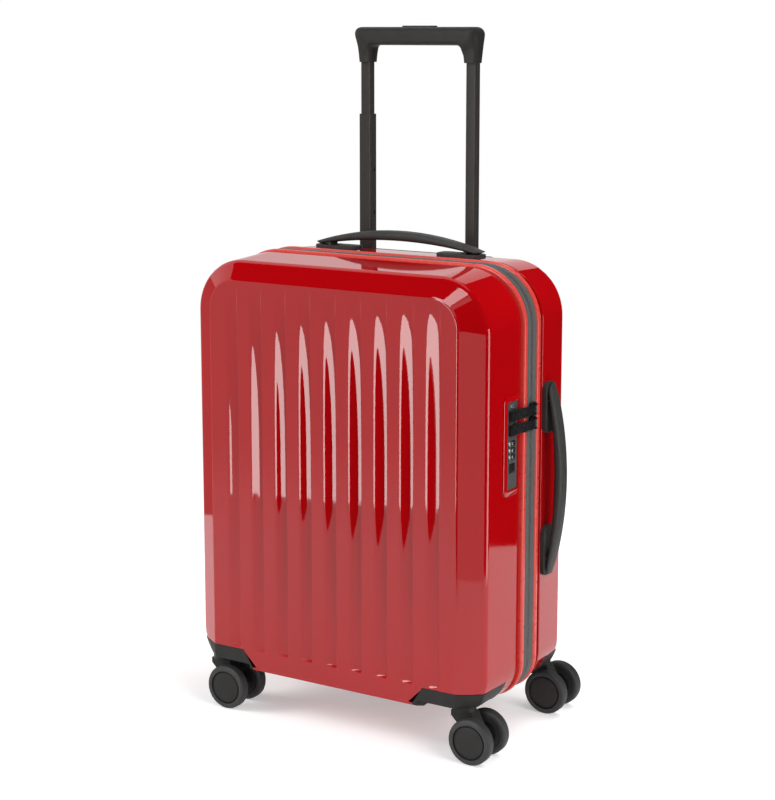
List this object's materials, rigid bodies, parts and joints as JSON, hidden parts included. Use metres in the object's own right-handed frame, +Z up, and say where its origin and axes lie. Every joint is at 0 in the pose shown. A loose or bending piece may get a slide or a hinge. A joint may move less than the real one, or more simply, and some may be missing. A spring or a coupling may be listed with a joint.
{
  "type": "hard shell suitcase on wheels",
  "caption": "Upright cabin suitcase with a fluted glossy hard shell, zip round the middle, telescopic trolley handle, carry handles, side lock and swivelling twin-wheel casters.",
  "frame": {"origin": "on the floor under the middle of the case, in the plane of the zip", "axes": "+Z up, +X to the side with the lock and the side handle, +Y from the lid to the back"},
  "size_m": [0.42, 0.231, 0.7985],
  "materials": {
    "shell_red": "polished moulded shell",
    "piping_red": "soft coated piping",
    "zip_grey": "woven tape with coil teeth",
    "lining_cloth": "woven lining",
    "strap_cloth": "elastic webbing",
    "black_plastic": "fine textured moulding",
    "tyre_rubber": "satin",
    "tube_dark": "dark anodised",
    "slider_metal": "black coated",
    "bright_steel": "bright"
  },
  "bodies": {
    "rear_case": {"rear_shell": "shell_red", "rear_piping": "piping_red", "rear_zip_tape": "zip_grey", "rear_lining": "lining_cloth", "packing_straps": "strap_cloth", "strap_buckle": "black_plastic", "trolley_collar": "black_plastic", "trolley_outer_tubes": "tube_dark", "trolley_foot": "black_plastic", "top_handle_mounts": "black_plastic", "side_handle_mounts": "black_plastic", "rear_left_caster_housing": "black_plastic", "rear_right_caster_housing": "black_plastic", "rear_housing_screws": "bright_steel"},
    "lid": {"front_shell": "shell_red", "front_piping": "piping_red", "front_zip_tape": "zip_grey", "front_lining": "lining_cloth", "lock_case": "black_plastic", "lock_spindle": "bright_steel", "front_left_caster_housing": "black_plastic", "front_right_caster_housing": "black_plastic", "front_housing_screws": "bright_steel"},
    "trolley": {"trolley_grip": "black_plastic", "inner_tubes": "tube_dark"},
    "trolley_button": {"grip_button": "black_plastic", "release_rods": "tube_dark"},
    "left_middle": {"left_middle_tube": "tube_dark"},
    "right_middle": {"right_middle_tube": "tube_dark"},
    "top_handle": {"top_handle_grip": "black_plastic"},
    "side_handle": {"side_handle_grip": "black_plastic"},
    "release_button": {"lock_button": "black_plastic"},
    "key_barrel": {"key_cylinder": "bright_steel"},
    "lower_dial": {"lower_lock_dial": "black_plastic"},
    "middle_dial": {"middle_lock_dial": "black_plastic"},
    "upper_dial": {"upper_lock_dial": "black_plastic"},
    "upper_slider": {"upper_zip_slider": "slider_metal"},
    "upper_tab": {"upper_pull_tab": "slider_metal"},
    "lower_slider": {"lower_zip_slider": "slider_metal"},
    "lower_tab": {"lower_pull_tab": "slider_metal"},
    "front_left_swivel": {"front_left_caster_fork": "black_plastic"},
    "front_left_wheels": {"front_left_wheel_axle": "bright_steel", "front_left_wheel_hubs": "black_plastic", "front_left_wheel_tyres": "tyre_rubber"},
    "front_right_swivel": {"front_right_caster_fork": "black_plastic"},
    "front_right_wheels": {"front_right_wheel_axle": "bright_steel", "front_right_wheel_hubs": "black_plastic", "front_right_wheel_tyres": "tyre_rubber"},
    "rear_left_swivel": {"rear_left_caster_fork": "black_plastic"},
    "rear_left_wheels": {"rear_left_wheel_axle": "bright_steel", "rear_left_wheel_hubs": "black_plastic", "rear_left_wheel_tyres": "tyre_rubber"},
    "rear_right_swivel": {"rear_right_caster_fork": "black_plastic"},
    "rear_right_wheels": {"rear_right_wheel_axle": "bright_steel", "rear_right_wheel_hubs": "black_plastic", "rear_right_wheel_tyres": "tyre_rubber"}
  },
  "joints": [
    {"name": "lid_fold", "type": "hinge", "parent": "rear_case", "child": "lid", "pos_m": [-0.1995, 0, 0.2925], "axis": [0, 0, 1], "range_deg": [-180, 0]},
    {"name": "trolley_draw", "type": "slide", "parent": "rear_case", "child": "trolley", "axis": [0, 0, 1], "range_m": [-0.23, 0.21]},
    {"name": "left_middle_draw", "type": "slide", "parent": "rear_case", "child": "left_middle", "axis": [0, 0, 1], "range_m": [-0.1701, 0.1553]},
    {"name": "right_middle_draw", "type": "slide", "parent": "rear_case", "child": "right_middle", "axis": [0, 0, 1], "range_m": [-0.0691, 0.0631]},
    {"name": "trolley_button_press", "type": "slide", "parent": "trolley", "child": "trolley_button", "axis": [0, 0, -1], "range_m": [0, 0.004], "stiffness_N_per_m": 1500, "springref_m": -0.002},
    {"name": "top_handle_lift", "type": "slide", "parent": "rear_case", "child": "top_handle", "axis": [0, 0, 1], "range_m": [0, 0.012]},
    {"name": "side_handle_lift", "type": "slide", "parent": "rear_case", "child": "side_handle", "axis": [1, 0, 0], "range_m": [0, 0.012]},
    {"name": "release_press", "type": "slide", "parent": "lid", "child": "release_button", "axis": [-1, 0, 0], "range_m": [0, 0.003], "stiffness_N_per_m": 300, "springref_m": -0.002},
    {"name": "key_turn", "type": "hinge", "parent": "lid", "child": "key_barrel", "pos_m": [0.1946, -0.043, 0.3905], "axis": [1, 0, 0], "range_deg": [0, 90]},
    {"name": "lower_dial_turn", "type": "hinge", "parent": "lid", "child": "lower_dial", "pos_m": [0.1875, -0.043, 0.3335], "axis": [0, 0, 1], "continuous": true},
    {"name": "middle_dial_turn", "type": "hinge", "parent": "lid", "child": "middle_dial", "pos_m": [0.1875, -0.043, 0.341], "axis": [0, 0, 1], "continuous": true},
    {"name": "upper_dial_turn", "type": "hinge", "parent": "lid", "child": "upper_dial", "pos_m": [0.1875, -0.043, 0.3485], "axis": [0, 0, 1], "continuous": true},
    {"name": "upper_slider_run", "type": "slide", "parent": "rear_case", "child": "upper_slider", "axis": [0, 0, 1], "range_m": [0, 0.08]},
    {"name": "upper_tab_swing", "type": "hinge", "parent": "upper_slider", "child": "upper_tab", "pos_m": [0.2012, 0.0005, 0.3805], "axis": [0, 0, 1], "range_deg": [0, 90]},
    {"name": "lower_slider_run", "type": "slide", "parent": "rear_case", "child": "lower_slider", "axis": [0, 0, -1], "range_m": [0, 0.265]},
    {"name": "lower_tab_swing", "type": "hinge", "parent": "lower_slider", "child": "lower_tab", "pos_m": [0.2012, 0.0005, 0.3645], "axis": [0, 0, 1], "range_deg": [0, 90]},
    {"name": "front_left_swivel_turn", "type": "hinge", "parent": "lid", "child": "front_left_swivel", "pos_m": [-0.1645, -0.09, 0.06], "axis": [0, 0, 1], "continuous": true},
    {"name": "front_left_wheel_roll", "type": "hinge", "parent": "front_left_swivel", "child": "front_left_wheels", "pos_m": [-0.1465, -0.09, 0.026], "axis": [0, 1, 0], "continuous": true},
    {"name": "front_right_swivel_turn", "type": "hinge", "parent": "lid", "child": "front_right_swivel", "pos_m": [0.1645, -0.09, 0.06], "axis": [0, 0, 1], "continuous": true},
    {"name": "front_right_wheel_roll", "type": "hinge", "parent": "front_right_swivel", "child": "front_right_wheels", "pos_m": [0.1825, -0.09, 0.026], "axis": [0, 1, 0], "continuous": true},
    {"name": "rear_left_swivel_turn", "type": "hinge", "parent": "rear_case", "child": "rear_left_swivel", "pos_m": [-0.1645, 0.092, 0.06], "axis": [0, 0, 1], "continuous": true},
    {"name": "rear_left_wheel_roll", "type": "hinge", "parent": "rear_left_swivel", "child": "rear_left_wheels", "pos_m": [-0.1465, 0.092, 0.026], "axis": [0, 1, 0], "continuous": true},
    {"name": "rear_right_swivel_turn", "type": "hinge", "parent": "rear_case", "child": "rear_right_swivel", "pos_m": [0.1645, 0.092, 0.06], "axis": [0, 0, 1], "continuous": true},
    {"name": "rear_right_wheel_roll", "type": "hinge", "parent": "rear_right_swivel", "child": "rear_right_wheels", "pos_m": [0.1825, 0.092, 0.026], "axis": [0, 1, 0], "continuous": true}
  ],
  "couplings": [
    {"joint": "left_middle_draw", "follows": "trolley_draw", "ratio": 0.73913},
    {"joint": "right_middle_draw", "follows": "trolley_draw", "ratio": 0.3}
  ]
}
